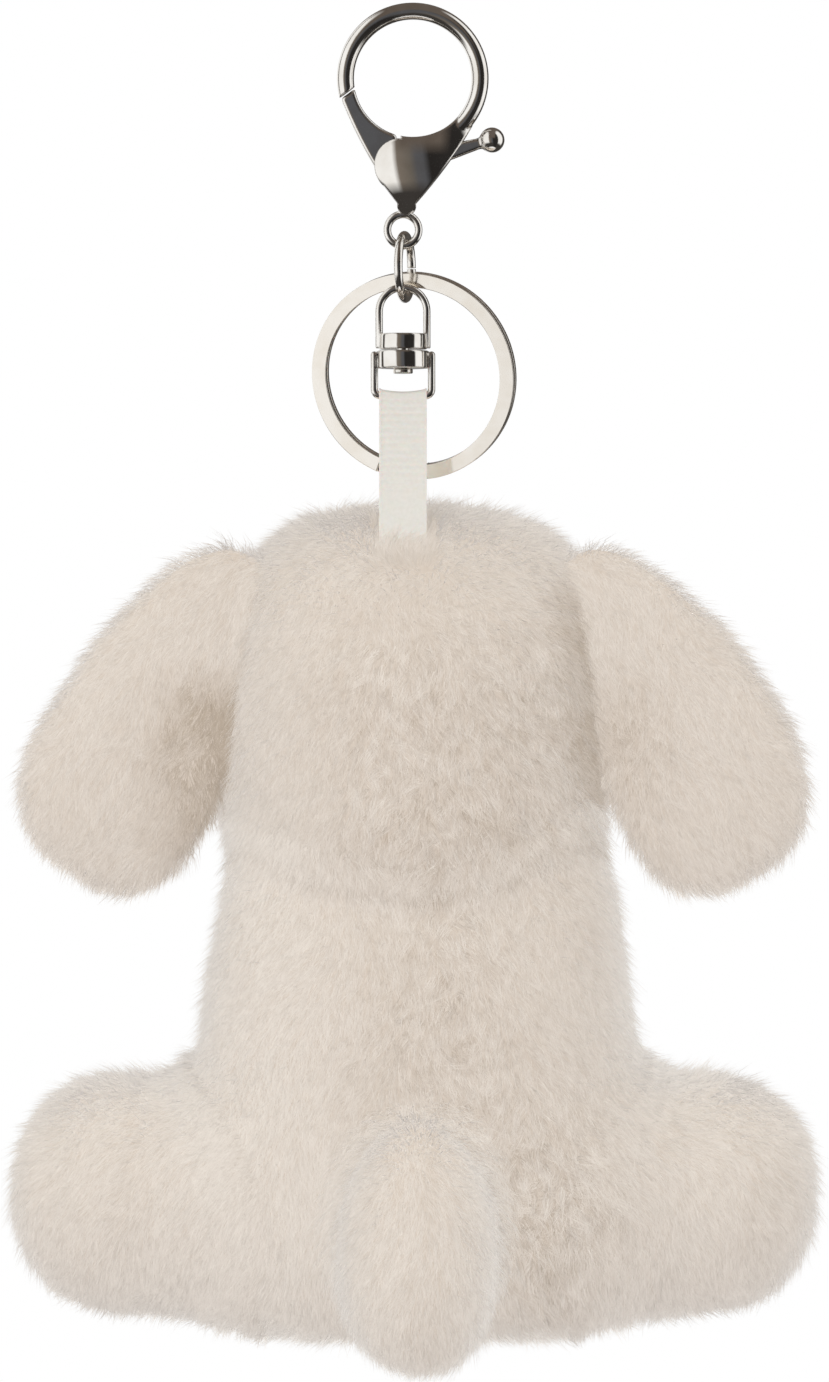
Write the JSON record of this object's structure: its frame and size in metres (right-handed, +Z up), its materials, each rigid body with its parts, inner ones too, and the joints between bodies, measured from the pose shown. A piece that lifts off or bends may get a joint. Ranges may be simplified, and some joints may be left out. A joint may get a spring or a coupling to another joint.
{
  "type": "plush keychain",
  "caption": "Stuffed lop-eared animal hung by a ribbon from a swivel, with a split key ring and a trigger clasp on a shared jump ring.",
  "frame": {"origin": "centre of the round eye of the trigger clasp, in the middle plane of its hook", "axes": "+Z up along the hanging line, +Y from the animal's back to its face, +X to the right in the picture"},
  "size_m": [0.116, 0.0728, 0.1981],
  "materials": {
    "nickel": "polished nickel plate",
    "ribbon": "fine ribbed ribbon",
    "fur_cloth": "dense soft pile",
    "stuffing": "loose fibre",
    "bead": "glossy",
    "washer": "matt"
  },
  "bodies": {
    "clasp": {"clasp_body": "nickel", "clasp_pin": "nickel", "clasp_spring": "nickel"},
    "lever": {"clasp_lever": "nickel"},
    "link": {"jump_ring": "nickel"},
    "key_ring": {"split_ring": "nickel"},
    "swivel_top": {"swivel_loop": "nickel", "swivel_rivet": "nickel"},
    "swivel_bottom": {"swivel_bail": "nickel"},
    "plush": {"strap": "ribbon", "head_cover": "fur_cloth", "head_stuffing": "stuffing", "body_cover": "fur_cloth", "body_stuffing": "stuffing", "leg_left_cover": "fur_cloth", "leg_left_stuffing": "stuffing", "leg_right_cover": "fur_cloth", "leg_right_stuffing": "stuffing", "arm_left_cover": "fur_cloth", "arm_left_stuffing": "stuffing", "arm_right_cover": "fur_cloth", "arm_right_stuffing": "stuffing", "tail_cover": "fur_cloth", "tail_stuffing": "stuffing", "eye_left": "bead", "eye_right": "bead", "eye_washers": "washer", "nose": "bead", "nose_washer": "washer"},
    "ear_l": {"ear_left": "fur_cloth"},
    "ear_r": {"ear_right": "fur_cloth"}
  },
  "joints": [
    {"name": "lever_pivot", "type": "hinge", "parent": "clasp", "child": "lever", "pos_m": [-0.0018, 0, -0.0128], "axis": [0, 1, 0], "range_deg": [0, 24], "stiffness_Nm_per_rad": 0.004, "springref_deg": -20.05},
    {"name": "link_swing", "type": "hinge", "parent": "clasp", "child": "link", "pos_m": [-0.00145, 0, -0.02457], "axis": [1, 0, 0], "range_deg": [-30, 30]},
    {"name": "ring_swing", "type": "hinge", "parent": "link", "child": "key_ring", "pos_m": [-0.00145, 0.0027, -0.0314], "axis": [0, 1, 0], "range_deg": [-28, 28]},
    {"name": "swivel_swing", "type": "hinge", "parent": "link", "child": "swivel_top", "pos_m": [-0.00145, 0, -0.0321], "axis": [0, 1, 0], "range_deg": [-28, 28]},
    {"name": "swivel_turn", "type": "hinge", "parent": "swivel_top", "child": "swivel_bottom", "pos_m": [-0.00145, 0, -0.0415], "axis": [0, 0, 1], "continuous": true},
    {"name": "strap_swing", "type": "hinge", "parent": "swivel_bottom", "child": "plush", "pos_m": [-0.00145, 0, -0.04662], "axis": [1, 0, 0], "range_deg": [-45, 8]},
    {"name": "ear_left_flap", "type": "hinge", "parent": "plush", "child": "ear_l", "pos_m": [-0.0227, 0.0052, -0.07072], "axis": [0, 1, 0], "range_deg": [0, 50]},
    {"name": "ear_right_flap", "type": "hinge", "parent": "plush", "child": "ear_r", "pos_m": [0.0231, 0.0052, -0.07072], "axis": [0, -1, 0], "range_deg": [0, 50]}
  ]
}
